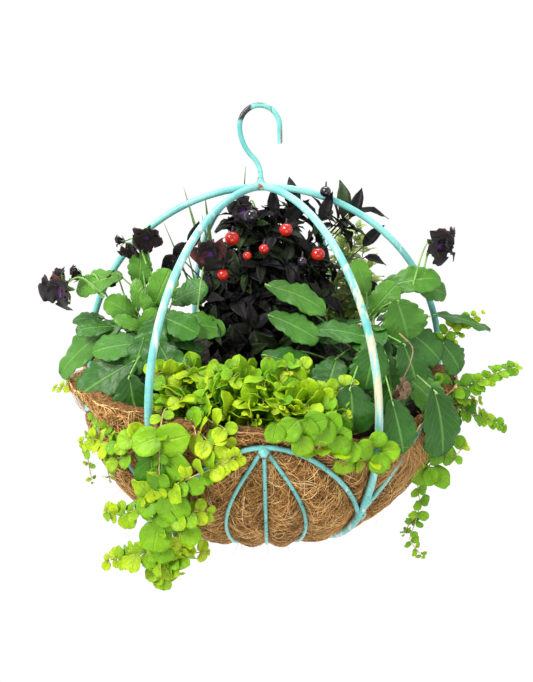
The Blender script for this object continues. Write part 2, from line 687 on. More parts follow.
leafDraw = np.random.default_rng(21)
creeperLeaf = {"rows": 8, "cols": 7, "outline": roundOutline, "cup": 0.13, "fold": 0.05, "droop": 0.40,
               "ruffle": (1.5, 0.05), "notch": 0.06, "twist": 0.12, "draw": leafDraw}
pansyLeaf = {"rows": 43, "cols": 13, "outline": ovateOutline, "cup": -0.10, "fold": 0.16, "droop": 0.55,
             "ruffle": (2.5, 0.028), "teeth": (6, 0.060), "notch": 0.05, "quilt": 0.022, "twist": 0.12,
             "draw": leafDraw}
pepperLeaf = {"rows": 8, "cols": 5, "outline": lanceOutline, "cup": -0.05, "fold": 0.45, "droop": 0.7,
              "ruffle": (2.0, 0.03), "twist": 0.4, "draw": leafDraw}
shrubLeaf = {"rows": 6, "cols": 5, "outline": lanceOutline, "fold": 0.25, "droop": 0.4, "draw": leafDraw}
sepal = {"rows": 6, "cols": 5, "outline": lanceOutline, "fold": 0.3, "droop": 0.5, "draw": leafDraw}
grassBlade = {"rows": 26, "cols": 3, "outline": bladeOutline, "fold": 0.5, "droop": 0.35, "twist": 0.1,
              "ruffle": (1, 0.0), "draw": leafDraw}
petal = {"rows": 14, "cols": 13, "outline": petalOutline, "cup": 0.25, "fold": -0.05, "droop": 0.9,
         "ruffle": (2.6, 0.13), "twist": 0.35, "draw": leafDraw}


# leaf materials: tone picks the leaf's own shade, across and reach place its veins
def veinLines(tree, count, lean, sharp):
    across = readAttribute(tree, "across")
    reach = readAttribute(tree, "reach")
    away = times(tree, across, 0, "ABSOLUTE")
    slanted = times(tree, times(tree, reach, times(tree, away, lean), "SUBTRACT"), count * math.pi * 2)
    side = times(tree, slanted, 0, "COSINE")
    side = window(tree, side, sharp, 1.0)
    rib = window(tree, away, 0.10, 0.01)
    return rib, side


def leafMaterial(name, young, middle, old, vein, veinShare, rough, veins=(6, 0.55, 0.93),
                 spots=None, gloss=0.5, glow=0.0, footShade=0.35, pucker=300):
    material, tree, shader = newMaterial(name)
    colour = ramp(tree, toneOf(tree), (0.05, old), (0.5, middle), (0.95, young))
    blotch = window(tree, noise(tree, 95, detail=3), 0.3, 0.7)
    colour = mix(tree, times(tree, blotch, 0.30), colour, tuple(c * 0.55 for c in middle))
    foot = window(tree, readAttribute(tree, "reach"), 0.75, 0.0)
    colour = mix(tree, times(tree, foot, footShade), colour, tuple(c * 0.4 for c in old))
    rib, side = veinLines(tree, *veins)
    lines = times(tree, times(tree, side, 0.55), rib, "MAXIMUM")
    colour = mix(tree, times(tree, lines, veinShare), colour, vein)
    if spots:
        mark = window(tree, noise(tree, spots[0], detail=2), spots[1], spots[1] + 0.03)
        colour = mix(tree, times(tree, mark, 0.8), colour, spots[2])
    values = {"Roughness": rough, "Specular IOR Level": gloss}
    if glow:
        values.update({"Subsurface Weight": glow, "Subsurface Scale": 1.0,
                       "Subsurface Radius": (0.002, 0.003, 0.0008)})
    finishShader(tree, shader, colour, values)
    height = times(tree, times(tree, noise(tree, pucker, detail=2), 1.3), times(tree, lines, 0.8), "SUBTRACT")
    bump(tree, shader, height, 0.7, 0.0010)
    return material


creeperGreen = leafMaterial("creeperLeaf", (0.44, 0.60, 0.008), (0.19, 0.44, 0.006), (0.030, 0.15, 0.005),
                            (0.36, 0.56, 0.04), 0.35, 0.45, veins=(3, 0.5, 0.95),
                            spots=(120, 0.70, (0.26, 0.12, 0.03)), glow=0.12, gloss=0.25)
pansyGreen = leafMaterial("pansyLeaf", (0.12, 0.33, 0.026), (0.042, 0.180, 0.018), (0.012, 0.070, 0.008),
                          (0.17, 0.38, 0.07), 0.60, 0.42, glow=0.06, gloss=0.35, footShade=0.45, pucker=170)
pepperBlack = leafMaterial("pepperLeaf", (0.030, 0.062, 0.014), (0.0075, 0.0060, 0.0065),
                           (0.003, 0.0025, 0.003), (0.020, 0.012, 0.016), 0.35, 0.50,
                           veins=(5, 0.5, 0.93), gloss=0.22)
shrubGreen = leafMaterial("shrubLeaf", (0.66, 0.74, 0.28), (0.30, 0.50, 0.09), (0.09, 0.22, 0.03),
                          (0.7, 0.8, 0.45), 0.5, 0.5, veins=(4, 0.5, 0.9), glow=0.3,
                          footShade=0.1)
sepalGreen = leafMaterial("sepalGreen", (0.22, 0.42, 0.06), (0.12, 0.28, 0.035), (0.05, 0.15, 0.02),
                          (0.25, 0.42, 0.10), 0.4, 0.5, glow=0.06)
grassGreen = leafMaterial("grassBlade", (0.34, 0.52, 0.14), (0.14, 0.30, 0.07), (0.05, 0.13, 0.03),
                          (0.3, 0.45, 0.15), 0.5, 0.45)
driedLeaf = leafMaterial("driedLeaf", (0.42, 0.30, 0.16), (0.22, 0.13, 0.07), (0.10, 0.055, 0.03),
                         (0.3, 0.2, 0.1), 0.4, 0.7)

petalVelvet, tree, shader = newMaterial("petalVelvet")
reach = readAttribute(tree, "reach")
velvet = ramp(tree, noise(tree, 180, detail=5), (0.35, (0.004, 0.003, 0.005)), (0.60, (0.010, 0.004, 0.007)),
              (0.80, (0.070, 0.010, 0.014)))
rim = window(tree, times(tree, reach, times(tree, noise(tree, 90), 0.5), "ADD"), 1.08, 1.32)
velvet = mix(tree, times(tree, rim, 0.5), velvet, (0.10, 0.018, 0.018))
maroon = times(tree, window(tree, toneOf(tree), 0.55, 0.95), window(tree, noise(tree, 120), 0.35, 0.6))
velvet = mix(tree, times(tree, maroon, 0.9), velvet, (0.13, 0.016, 0.018))
throat = window(tree, reach, 0.22, 0.05)
velvet = mix(tree, times(tree, throat, 0.9), velvet, (0.16, 0.03, 0.30))
finishShader(tree, shader, velvet, {"Roughness": 0.72, "Sheen Weight": 0.12, "Sheen Roughness": 0.4})
bump(tree, shader, noise(tree, 900, detail=4, stretch=(1, 1, 0.4)), 0.5, 0.0007)


def stemMaterial(name, low, high, rough=0.5):
    material, tree, shader = newMaterial(name)
    shade = mix(tree, window(tree, noise(tree, 140), 0.35, 0.65), low, high)
    finishShader(tree, shader, shade, {"Roughness": rough})
    bump(tree, shader, noise(tree, 600), 0.3, 0.0003)
    return material


creeperStem = stemMaterial("creeperStem", (0.38, 0.42, 0.10), (0.50, 0.28, 0.16))
greenStem = stemMaterial("greenStem", (0.16, 0.36, 0.06), (0.28, 0.50, 0.12))
darkStem = stemMaterial("pepperStem", (0.020, 0.014, 0.018), (0.045, 0.035, 0.03))
dryStem = stemMaterial("dryStem", (0.20, 0.12, 0.07), (0.36, 0.25, 0.14), 0.8)


def addStem(sheaf, points, girth, sides=6, count=16, tip=0.6):
    path = bezier(points, count)[None]
    addTubes(sheaf, path, np.linspace(girth, girth * tip, count)[None] * mm / 2, sides, 0.5)


# creeping jenny

creeper = {
    "leaf": (13.0, 19.0), "gap": 9.5, "stem": 1.3, "tipShrink": 0.55,
    # mat shoots: how many, azimuths, radii, rise, leaf size, tone
    "mat": [(26, (-36, 20), (112, 152), (2, 14), 0.85, 0.10),
            (20, (-33, 14), (108, 128), (16, 34), 1.06, 0.48),
            (20, (-27, 16), (128, 152), (8, 22), 1.16, 0.56),
            (5, (14, 24), (134, 150), (6, 14), 1.0, 0.45),
            (10, (-34, 12), (96, 116), (18, 38), 0.92, 0.34)],
}


def growShoot(path, facing, leaves, stems, draw, size=1.0, girth=1.0, tone=0.55, gapScale=1.0, tipTone=0.35):
    # stem along path (millimetres), with opposite pairs of round leaves
    points = bezier([at(*p) for p in path], 40)
    steps = np.linalg.norm(np.diff(points, axis=0), axis=1)
    run = np.concatenate([[0], np.cumsum(steps)])
    total = run[-1]
    radii = np.linspace(1, 0.55, 20)[None] * creeper["stem"] * girth * mm / 2
    addTubes(stems, points[None, ::2], radii, 5, 0.5)
    place = creeper["gap"] * gapScale * mm * 0.5
    turn = draw.uniform(0, math.pi)
    while place < total:
        share = place / total
        spot = np.array([np.interp(place, run, points[:, k]) for k in range(3)])
        ahead = np.array([np.interp(min(place + 0.003, total), run, points[:, k]) for k in range(3)])
        behind = np.array([np.interp(max(place - 0.003, 0), run, points[:, k]) for k in range(3)])
        tangent = unit(ahead - behind)
        out = unit(np.array(facing) - tangent * np.dot(facing, tangent))
        side = np.cross(tangent, out)
        roll = draw.normal(0, 0.30) + 0.35 * math.sin(turn)
        side = side * math.cos(roll) + out * math.sin(roll)
        shrink = 1 - (1 - creeper["tipShrink"]) * max(0, (share - 0.45) / 0.55) ** 1.4
        for sign in (-1, 1):
            span = draw.uniform(*creeper["leaf"]) * size * shrink * mm
            aim = unit(side * sign + tangent * draw.uniform(0.15, 0.75) + out * draw.uniform(-0.15, 0.45)
                       + draw.normal(0, 0.14, 3))
            face = unit(out + draw.normal(0, 0.20, 3) - aim * 0.1)
            shade = np.clip(tone + tipTone * share + draw.normal(0, 0.17), 0, 1)
            leaves.append((spot + aim * 0.8 * mm, aim, face, span, span * draw.uniform(0.88, 1.05), shade))
        place += creeper["gap"] * gapScale * mm * draw.uniform(0.85, 1.15) * (0.55 + 0.45 * shrink)
        turn += math.pi / 2
    # the growing tip: two tiny pale leaves
    for sign in (-1, 1):
        aim = unit(tangent * 1.2 + side * sign * 0.7)
        leaves.append((points[-1], aim, out, 5.0 * size * mm, 4.5 * size * mm, 0.98))


def finishCreeper(name, leaves, stems, nodes):
    sheaf = newSheaf()
    addRows(sheaf, leaves, creeperLeaf)
    finishMesh(name + "Leaves", sheaf, creeperGreen, 0.35, nodes)
    finishMesh(name + "Stems", stems, creeperStem)


def placeLeaves(leaves, rows, draw):
    # single leaves: middle, way the tip points, size in millimetres, tone
    for x, y, h, tipX, tipZ, size, tone in rows:
        aim = unit(np.array([tipX, -0.25, tipZ]) + draw.normal(0, 0.05, 3))
        a = math.atan2(x, -y)
        face = unit(np.array([0.5 * math.sin(a), -0.85, 0.35]) + draw.normal(0, 0.12, 3))
        leaves.append((at(x, y, h) - aim * size * 0.5 * mm, aim, face, size * mm, size * 0.98 * mm, tone))


draw = np.random.default_rng(31)
leaves, stems = [], newSheaf()
for number, (firstAz, lastAz), (near, far), (lowRise, highRise), size, tone in creeper["mat"]:
    for _ in range(number):
        az, radius = draw.uniform(firstAz, lastAz), draw.uniform(near, far)
        a = math.radians(az)
        x, y = radius * math.sin(a), -radius * math.cos(a)
        lean = a + draw.normal(0, 0.8)
        reach = draw.uniform(14, 30)
        rise = draw.uniform(lowRise, highRise)
        dx, dy = math.sin(lean) * reach, -math.cos(lean) * reach
        limit = 164 / max(math.hypot(x + dx, y + dy), 164)
        tip = ((x + dx) * limit, (y + dy) * limit, 9 + rise * 0.9)
        path = [(x, y, 4), (x + dx * 0.25, y + dy * 0.25, 5 + rise * 0.7),
                (x + dx * 0.65, y + dy * 0.65, 8 + rise), tip]
        growShoot(path, (0.15 * math.sin(a), -0.82, 0.57), leaves, stems, draw,
                  size * 1.14, tone=tone - 0.06, gapScale=1.22)
# long bare stem that runs forward through the mat, and shoots that lie along the rim on the right
growShoot([(-92, -92, 52), (-88, -95, 40), (-66, -110, 30), (-48, -125, 24), (-33, -140, 22)],
          (0, -0.7, 0.7), leaves, stems, draw, 0.72, 1.5, 0.62, 2.3)
growShoot([(18, -140, 12), (30, -142, 15), (43, -138, 20), (57, -133, 27), (72, -130, 33)],
          (-0.1, -0.8, 0.6), leaves, stems, draw, 0.95, 1.2, 0.62, 1.25)
growShoot([(16, -150, 12), (30, -166, 8), (45, -168, 2), (58, -168, -8), (72, -167, -15), (84, -165, -17),
           (94, -162, -22)], (0.35, -0.8, 0.5), leaves, stems, draw, 1.0, 1.2, 0.52, 1.1)
placeLeaves(leaves, [(86, -166, 0, 0.1, 0.9, 16, 0.50), (97, -164, -10, 0.9, 0.2, 16, 0.55),
                     (87, -170, -18, -0.1, -0.9, 17, 0.50), (76, -172, -4, -0.6, 0.4, 16, 0.48),
                     (64, -176, -5, -0.2, -0.9, 17, 0.52), (55, -179, 1, -0.4, -0.8, 18, 0.46),
                     (57, -176, 9, 0.6, 0.5, 17, 0.40), (43, -180, 13, 0.2, -0.9, 21, 0.42),
                     (30, -182, 15, -0.3, -0.8, 20, 0.50), (28, -185, 5, 0.1, -0.95, 17, 0.55),
                     (18, -184, 18, -0.6, -0.6, 19, 0.45), (38, -180, 22, 0.7, 0.3, 18, 0.32),
                     (8, -184, 15, -0.2, -0.9, 16, 0.52), (50, -176, 20, 0.5, 0.6, 17, 0.36)], draw)
finishCreeper("creeperMat", leaves, stems, ("creeping_jenny_mat",))

# shoots that hang over the front left rim: path, leaf size, tone, leaf spacing
curtain = [
    ([(-72, -140, 22), (-76, -158, 23), (-76, -176, 14), (-76, -184, 2), (-77, -186, -16), (-75, -186, -40),
      (-80, -182, -66), (-83, -174, -90), (-86, -168, -118)], 0.62, 0.40, 1.6),
    ([(-85, -180, -42), (-103, -173, -53), (-113, -168, -59), (-126, -162, -59)], 0.74, 0.55, 0.95),
    ([(-70, -185, -50), (-58, -187, -47), (-50, -187, -45), (-42, -186, -48)], 0.72, 0.58, 0.85),
    ([(-84, -174, -88), (-104, -167, -95), (-114, -162, -102), (-131, -156, -110)], 0.80, 0.60, 0.95),
    ([(-79, -172, -99), (-62, -173, -92), (-48, -172, -92)], 0.80, 0.62, 0.85),
    ([(-75, -185, -42), (-64, -184, -62), (-66, -181, -84)], 0.95, 0.50, 1.0),
    ([(-88, -164, 4), (-105, -166, 3), (-121, -156, -3), (-139, -144, -4)], 0.84, 0.58, 1.0),
    ([(-90, -166, 2), (-100, -170, -4), (-112, -166, -11), (-122, -158, -13)], 0.70, 0.40, 1.1),
    ([(-108, -158, 4), (-122, -152, -14), (-126, -148, -29), (-127, -142, -44)], 0.50, 0.55, 1.5),
    ([(-72, -186, -26), (-52, -191, -14), (-36, -193, -6), (-19, -192, 2)], 0.85, 0.60, 0.85),
    ([(-60, -156, 16), (-46, -178, 14), (-38, -186, 8), (-36, -190, 0)], 0.92, 0.60, 0.95),
    ([(-48, -154, 18), (-38, -172, 20), (-28, -181, 18), (-27, -186, 6)], 0.85, 0.62, 0.95),
    ([(-78, -186, -20), (-88, -184, -28), (-92, -182, -36)], 0.72, 0.75, 0.8),
    ([(-80, -174, -86), (-76, -172, -99), (-74, -170, -113)], 0.80, 0.5, 0.85),
    ([(-82, -174, -88), (-88, -170, -103), (-84, -166, -121)], 0.85, 0.55, 0.85),
]
curtainLeaves = [
    (-86, -182, 10, -0.9, -0.25, 23, 0.55), (-66, -184, 12, 0.9, 0.15, 26, 0.56),
    (-103, -172, 7, -0.9, -0.2, 16, 0.62), (-84, -184, -15, -0.2, -0.95, 25, 0.05),
    (-75, -187, -18, 0.1, -0.95, 22, 0.22), (-64, -187, -8, 0.6, -0.6, 22, 0.42),
    (-67, -190, -41, 0.45, -0.85, 26, 0.48), (-88, -186, -40, -0.75, -0.5, 19, 0.42),
    (-84, -184, -70, -0.3, -0.9, 26, 0.52), (-75, -188, -54, 0.2, -0.9, 20, 0.36),
    (-90, -186, -26, -0.5, 0.5, 14, 0.72), (-80, -180, -86, 0.3, -0.8, 19, 0.45),
    (-82, -172, -108, 0.1, -0.95, 17, 0.55), (-76, -172, -102, 0.7, -0.5, 15, 0.6),
    (-90, -170, -101, -0.7, -0.4, 15, 0.55), (-85, -170, -121, -0.1, -0.95, 18, 0.6),
    (-93, -168, -114, -0.7, -0.3, 14, 0.65), (-78, -168, -116, 0.7, -0.4, 13, 0.62),
]
draw = np.random.default_rng(32)
leaves, stems = [], newSheaf()
for path, size, tone, spacing in curtain:
    a = math.atan2(path[1][0], -path[1][1])
    growShoot(path, (0.6 * math.sin(a), -0.85, 0.40), leaves, stems, draw, size, 1.1, tone, spacing)
placeLeaves(leaves, curtainLeaves, draw)
finishCreeper("creeperCurtain", leaves, stems, ("creeping_jenny_curtain",))

# shoots at the sides: path, leaf size, tone, spacing, facing; then single leaves
sideShoots = {
    "creeperTrailRight": (("creeping_jenny_trail_right",), [
        ([(140, -92, 2), (150, -106, -12), (148, -114, -34), (140, -118, -50), (133, -114, -67),
          (136, -113, -88), (133, -112, -110), (130, -110, -127), (143, -108, -147)],
         0.66, 0.26, 1.25, (0.2, -0.9, 0.3)),
        ([(133, -113, -100), (127, -112, -112), (124, -110, -122)], 0.50, 0.28, 1.2, (0.1, -0.9, 0.3)),
        ([(146, -112, -30), (154, -112, -40), (166, -106, -46), (176, -100, -38)], 0.66, 0.40, 1.3,
         (0.3, -0.8, 0.4)),
    ], [
        (138, -122, -32, -0.3, -0.9, 16, 0.24), (131, -124, -54, -0.8, -0.5, 20, 0.52),
        (141, -124, -56, 0.3, -0.9, 17, 0.48), (152, -116, -61, 0.85, -0.4, 21, 0.46),
        (160, -108, -45, 0.3, -0.8, 18, 0.42), (146, -120, -40, 0.2, -0.9, 16, 0.22),
        (172, -100, -36, 0.8, -0.3, 13, 0.42), (134, -120, -42, -0.5, -0.8, 15, 0.3),
    ]),
    "creeperSprigRight": (("creeping_jenny_sprig_right",), [
        ([(148, -62, 8), (176, -60, -1), (204, -50, 3), (225, -42, 9), (241, -40, 12)], 0.72, 0.20, 0.66,
         (0.1, -0.7, 0.7)),
        ([(162, -60, 2), (179, -60, -9), (192, -54, -14), (205, -50, -18)], 0.48, 0.52, 0.8,
         (0.1, -0.7, 0.7)),
        ([(160, -64, -6), (181, -60, -20), (204, -52, -32), (219, -48, -40), (233, -46, -46)],
         0.70, 0.20, 0.58, (0.1, -0.7, 0.7)),
        ([(156, -40, 26), (168, -40, 42), (180, -35, 53), (192, -30, 56), (207, -30, 64)], 0.62, 0.34, 1.0,
         (0.1, -0.8, 0.5)),
        ([(158, -40, 22), (174, -38, 36), (186, -34, 44)], 0.55, 0.40, 1.0, (0.1, -0.8, 0.5)),
    ], []),
    "creeperSprigLeft": (("creeping_jenny_sprig_left",), [
        ([(-118, -124, 4), (-130, -140, 0), (-140, -140, -8), (-151, -132, -14)], 0.62, 0.62, 1.1,
         (-0.3, -0.8, 0.6)),
        ([(-138, -118, 8), (-148, -118, -10), (-152, -116, -34), (-152, -112, -62)], 0.46, 0.50, 1.6,
         (-0.4, -0.8, 0.3)),
        ([(-150, -60, 14), (-172, -56, 10), (-190, -50, 4), (-200, -46, 2)], 0.52, 0.70, 1.0,
         (-0.3, -0.6, 0.7)),
    ], []),
}
draw = np.random.default_rng(33)
for name, (nodes, paths, singles) in sideShoots.items():
    leaves, stems = [], newSheaf()
    for path, size, tone, gapScale, facing in paths:
        growShoot(path, facing, leaves, stems, draw, size, 1.0, tone, gapScale)
    placeLeaves(leaves, singles, draw)
    finishCreeper(name, leaves, stems, nodes)
print("creeping jenny done")

# pansies

# each leaf: middle (x, y, height), the way its tip points, the way its face looks, length, width, tone
leftLeaves = [
    ((-165, -62, 50), (-0.88, -0.10, -0.42), (-0.30, -0.66, 0.70), 82, 36, 0.60),
    ((-148, -50, 106), (-0.90, -0.10, -0.10), (0.00, -0.60, 0.80), 44, 30, 0.70),
    ((-136, -96, 30), (-0.85, -0.20, -0.40), (-0.05, -0.82, 0.55), 60, 42, 0.40),
    ((-108, -122, 18), (0.10, -0.25, -0.95), (0.05, -0.90, 0.35), 42, 36, 0.38),
    ((-62, -60, 68), (0.97, -0.10, 0.10), (0.00, -0.55, 0.82), 56, 30, 0.62),
    ((-90, -60, 98), (0.35, -0.20, 0.80), (0.10, -0.85, 0.45), 36, 28, 0.75),
    ((-124, -62, 82), (-0.50, -0.30, 0.50), (-0.10, -0.75, 0.65), 32, 24, 0.72),
    ((-97, -84, 60), (-0.30, -0.40, -0.70), (0.00, -0.80, 0.60), 44, 32, 0.48),
    ((-70, -38, 90), (0.60, -0.20, 0.40), (0.10, -0.70, 0.70), 38, 28, 0.50),
    ((-162, -44, 70), (-0.90, 0.00, 0.10), (-0.20, -0.50, 0.85), 30, 18, 0.45),
    ((-124, -84, 56), (-0.70, -0.30, 0.10), (-0.10, -0.60, 0.75), 46, 32, 0.55),
    ((-80, -98, 42), (0.40, -0.40, -0.60), (0.00, -0.80, 0.60), 42, 32, 0.40),
    ((-150, -62, 66), (-0.90, -0.20, 0.10), (-0.30, -0.60, 0.70), 36, 20, 0.50),
    ((-112, -40, 110), (0.10, -0.20, 0.90), (-0.10, -0.90, 0.30), 34, 24, 0.66),
    ((-74, -76, 72), (0.80, -0.30, -0.20), (0.10, -0.70, 0.70), 40, 28, 0.52),
    ((-104, -20, 84), (-0.20, 0.60, 0.60), (0.00, -0.60, 0.80), 44, 32, 0.45),
    ((-132, -10, 58), (-0.80, 0.40, 0.10), (-0.20, -0.10, 0.95), 48, 34, 0.48),
    ((-110, 14, 46), (-0.50, 0.80, -0.10), (-0.20, 0.40, 0.90), 46, 34, 0.45),
    ((-150, -30, 40), (-0.90, 0.10, -0.30), (-0.40, -0.10, 0.90), 44, 32, 0.50),
    ((-78, -60, 40), (0.50, -0.60, -0.10), (0.10, -0.60, 0.80), 40, 30, 0.35),
    ((-112, -60, 92), (0.05, -0.20, 0.95), (0.00, -0.90, 0.30), 30, 13, 0.80),
    ((-100, -66, 82), (-0.25, -0.30, 0.85), (0.10, -0.90, 0.30), 28, 12, 0.75),
    ((-104, -72, 72), (0.45, -0.40, 0.60), (0.00, -0.85, 0.40), 30, 14, 0.70),
    ((-116, -70, 70), (-0.70, -0.30, 0.50), (0.00, -0.80, 0.50), 30, 13, 0.70),
    ((-88, -74, 62), (0.80, -0.30, 0.10), (0.00, -0.75, 0.60), 32, 15, 0.65),
    ((-108, -90, 48), (-0.20, -0.50, -0.50), (0.00, -0.85, 0.50), 34, 24, 0.45),
]
rightLeaves = [
    ((33, -60, 93), (0.96, -0.05, -0.20), (-0.05, -0.55, 0.83), 60, 33, 0.60),
    ((28, -80, 69), (0.92, -0.20, -0.30), (0.00, -0.60, 0.80), 48, 30, 0.56),
    ((68, -70, 62), (1.00, 0.00, 0.02), (0.00, -0.42, 0.90), 58, 32, 0.48),
    ((125, -68, 68), (0.30, -0.35, -0.80), (-0.05, -0.85, 0.52), 38, 44, 0.62),
    ((136, -36, 100), (0.90, -0.05, 0.35), (-0.30, -0.65, 0.70), 60, 30, 0.62),
    ((156, -24, 90), (0.92, -0.10, -0.15), (0.00, -0.70, 0.70), 42, 28, 0.58),
    ((186, -42, 64), (1.00, 0.00, -0.05), (0.00, -0.22, 0.97), 58, 24, 0.35),
    ((178, -48, 27), (0.65, -0.20, -0.65), (0.25, -0.82, 0.50), 38, 32, 0.50),
    ((148, -126, -6), (0.30, -0.10, -0.93), (0.40, -0.86, 0.32), 64, 42, 0.40),
    ((138, -112, 16), (0.75, -0.20, -0.50), (0.10, -0.75, 0.65), 46, 34, 0.66),
    ((69, -150, 17), (0.05, -0.35, -0.85), (0.00, -0.88, 0.47), 40, 42, 0.40),
    ((106, -148, 2), (0.25, -0.20, -0.95), (0.15, -0.92, 0.30), 44, 32, 0.42),
    ((24, -96, 42), (0.95, -0.20, -0.15), (0.00, -0.62, 0.78), 50, 32, 0.48),
    ((108, -52, 84), (0.40, -0.30, 0.70), (-0.10, -0.85, 0.50), 34, 26, 0.66),
    ((148, -58, 44), (0.70, -0.30, -0.40), (0.20, -0.75, 0.60), 44, 36, 0.48),
    ((98, -86, 42), (-0.30, -0.50, -0.50), (0.00, -0.80, 0.60), 42, 34, 0.45),
    ((92, -40, 100), (-0.25, -0.20, 0.90), (0.00, -0.90, 0.40), 36, 20, 0.72),
    ((132, -86, 22), (0.10, -0.50, -0.60), (0.10, -0.85, 0.50), 48, 40, 0.42),
    ((58, -100, 32), (-0.20, -0.60, -0.20), (0.00, -0.70, 0.70), 42, 34, 0.40),
    ((112, 0, 72), (0.20, 0.80, 0.40), (0.10, 0.20, 0.95), 46, 34, 0.48),
    ((142, 6, 56), (0.80, 0.50, 0.05), (0.20, 0.20, 0.95), 48, 34, 0.45),
    ((120, 26, 40), (0.50, 0.80, -0.10), (0.20, 0.40, 0.90), 44, 32, 0.45),
    ((150, -20, 40), (0.90, 0.10, -0.30), (0.40, -0.10, 0.90), 44, 32, 0.50),
    ((90, -70, 56), (0.20, -0.50, 0.10), (0.00, -0.70, 0.70), 44, 34, 0.40),
    ((106, -114, 24), (0.10, -0.30, -0.85), (0.00, -0.88, 0.45), 46, 38, 0.38),
    ((88, -116, 42), (-0.20, -0.30, -0.80), (0.00, -0.85, 0.50), 40, 34, 0.44),
    ((124, -108, 40), (0.30, -0.30, -0.70), (0.10, -0.85, 0.50), 40, 32, 0.40),
]


def growPansy(name, leafList, root, nodes, draw):
    sheaf, stalks = newSheaf(), newSheaf()
    rows = []
    for middle, tip, face, length, width, tone in leafList:
        aim = unit(np.array(tip, float))
        foot = at(*middle) - aim * length * 0.48 * mm
        rows.append((foot, aim, np.array(face, float), length * mm, width * mm,
                     np.clip(0.5 + (tone - 0.5) * 1.8, 0, 1)))
        start = at(root[0] + draw.normal(0, 9), root[1] + draw.normal(0, 9), root[2])
        rise = (start + foot) / 2 + np.array([0, 0, 0.012]) - aim * 0.010
        addStem(stalks, [start, rise, foot, foot + aim * 3 * mm], 1.8)
    addRows(sheaf, rows, pansyLeaf)
    # small young leaves and leafy bracts low in the crown
    number = 34
    spin = draw.uniform(0, 2 * math.pi, number)
    reach = draw.uniform(6, 34, number)
    low = np.stack([(root[0] + reach * np.cos(spin)) * mm, (root[1] + reach * np.sin(spin)) * mm,
                    rimZ + (14 + draw.uniform(0, 46, number)) * mm], -1)
    aim = np.stack([np.cos(spin), np.sin(spin), draw.uniform(-0.2, 0.8, number)], -1)
    face = np.stack([-np.cos(spin) * 0.3, -np.sin(spin) * 0.3 - 0.3, np.ones(number)], -1)
    size = draw.uniform(18, 32, number) * mm
    addLeaves(sheaf, low, aim, face, size, size * 0.62, pansyLeaf, draw.uniform(0.2, 0.55, number))
    finishMesh(name + "Leaves", sheaf, pansyGreen, 0.45, nodes)
    finishMesh(name + "Stalks", stalks, greenStem)


draw = np.random.default_rng(41)
growPansy("pansyLeft", leftLeaves, (-98, -34, 8), ("pansy_left",), draw)
growPansy("pansyRight", rightLeaves, (102, -34, 8), ("pansy_right",), draw)

# flowers: centre, facing, petal length, how closed, foot of the stalk, and how maroon where it shows
blooms = {
    "pansyBloomsLeft": (("pansy_blooms_left",), [
        ((-103, -38, 140), (0.30, -0.80, -0.50), 19, 0.75, (-98, -46, 70)),
        ((-117, -38, 130), (-0.30, -0.70, -0.65), 15, 0.90, (-104, -46, 66)),
        ((-177, -66, 99), (-0.50, -0.80, -0.30), 21, 0.60, (-140, -58, 92), 0.98),
        ((-178, -58, 110), (-0.30, -0.50, 0.60), 11, 1.15, (-142, -56, 90)),
        ((-166, -48, 110), (-0.70, -0.40, 0.40), 13, 1.15, (-138, -54, 88)),
        ((-136, -42, 104), (0.10, -0.80, 0.10), 11, 1.10, (-122, -52, 80)),
        ((-128, -34, 138), (-0.95, -0.30, 0.10), 9, 1.25, (-104, -44, 118)),
    ]),
    "pansyBloomTop": (("pansy_bloom_top",), [
        ((-17, -8, 160), (-0.45, -0.80, -0.30), 19, 0.55, (-2, -4, 150))]),
    "pansyBloomMiddle": (("pansy_bloom_middle",), [((-46, -46, 126), (0.10, -0.80, -0.45), 21, 0.50,
                                                    (-60, -48, 74), 0.98)]),
    "pansyBloomRight": (("pansy_bloom_right",), [((164, -26, 126), (0.60, -0.78, -0.10), 22, 0.60,
                                                  (138, -36, 90)),
                                                 ((170, -22, 128), (0.85, -0.50, 0.20), 19, 0.85,
                                                  (150, -30, 108))]),
}


def basis(facing):
    facing = unit(np.array(facing, float))
    up = unit(np.array([0, 0, 1.0]) - facing * facing[2])
    return facing, up, np.cross(up, facing)


# a flower's petals: angle, length, width
petalSpread = [(62, 1.0, 1.05), (118, 1.0, 1.05), (12, 0.95, 1.1),
               (168, 0.95, 1.1), (270, 0.95, 1.3), (90, 0.8, 1.0)]


def addBloom(petals, greens, stalks, draw, centre, facing, size, closed, foot, maroonMost=0.68):
    facing, up, side = basis(facing)
    middle = at(*centre)
    for angle, long, wide in petalSpread:
        a = math.radians(angle + draw.normal(0, 7))
        flat = side * math.cos(a) + up * math.sin(a)
        aim = unit(flat * (1.05 - 0.75 * min(closed, 1.1)) + facing * (0.15 + 0.75 * closed))
        face = unit(facing - flat * 0.5 * closed + draw.normal(0, 0.12, 3))
        span = size * long * draw.uniform(0.9, 1.1) * mm
        addLeaves(petals, middle - facing * 3 * mm, aim, face, span,
                  span * wide * (1.0 - 0.35 * min(closed, 1)), petal, draw.uniform(0.0, maroonMost))
    back = middle - facing * 4 * mm
    for index in range(5):
        a = 2 * math.pi * index / 5 + draw.normal(0, 0.1)
        flat = side * math.cos(a) + up * math.sin(a)
        aim = unit(flat * 0.75 + facing * (0.35 if closed > 0.9 else -0.25))
        addLeaves(greens, back, aim, unit(-facing + flat * 0.3), size * 0.72 * mm, size * 0.27 * mm, sepal,
                  draw.uniform(0.3, 0.8))
    neck = back - facing * 7 * mm + np.array([0, 0, 3 * mm])
    start = at(*foot)
    addStem(stalks, [start, start + (neck - start) * 0.6 + np.array([0, 0, 9 * mm]), neck, back], 1.9)


